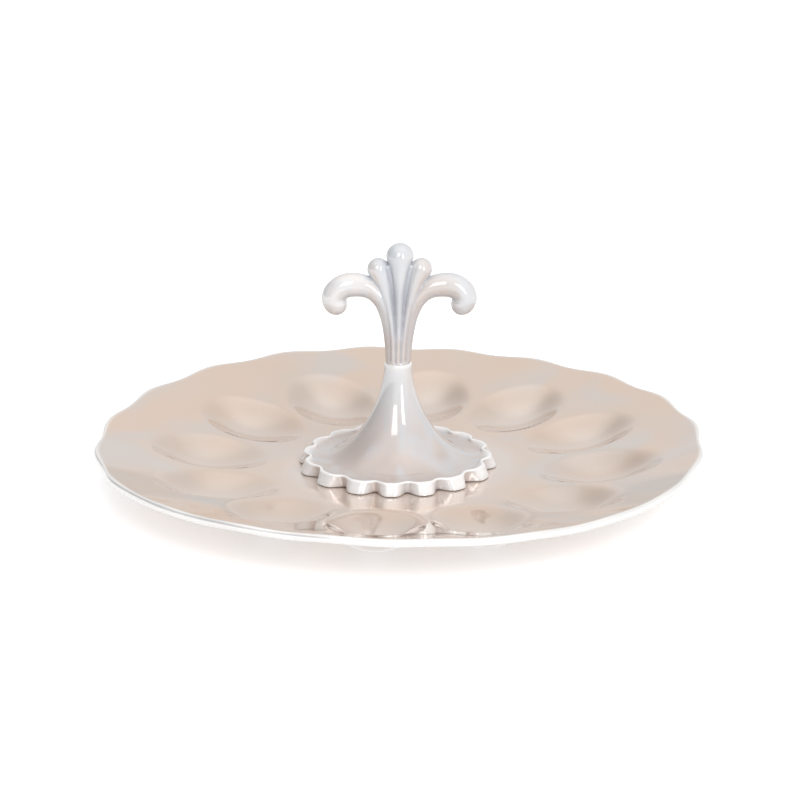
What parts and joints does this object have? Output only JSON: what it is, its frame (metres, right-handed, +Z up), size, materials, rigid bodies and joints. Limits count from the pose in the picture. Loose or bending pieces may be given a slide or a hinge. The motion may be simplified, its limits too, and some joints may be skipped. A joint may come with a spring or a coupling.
{
  "type": "deviled egg platter",
  "caption": "Round serving platter with a scalloped rim, radial egg wells and a raised centre handle topped by a fluted plume.",
  "frame": {"origin": "on the table, in the middle of the foot ring, under the handle", "axes": "+Z is up along the handle, +X points to the arm of the handle on the right, and the picture looks along +Y from 18.7 degrees above"},
  "size_m": [0.3246, 0.3246, 0.1333],
  "materials": {
    "warm_lustre_glaze": "gloss pearl lustre glaze on stoneware",
    "cool_lustre_glaze": "gloss pearl lustre glaze on stoneware",
    "insert_brass": "satin",
    "stainless_steel": "satin",
    "clear_silicone": "satin",
    "black_rubber": "matte"
  },
  "bodies": {
    "root": {"dish": "warm_lustre_glaze", "handle_base": "cool_lustre_glaze", "handle_plume": "cool_lustre_glaze", "thread_insert": "insert_brass", "tie_rod": "stainless_steel", "base_gasket": "clear_silicone", "neck_washer": "clear_silicone", "soft_washer": "black_rubber", "steel_washer": "stainless_steel", "nut": "stainless_steel"}
  },
  "joints": []
}
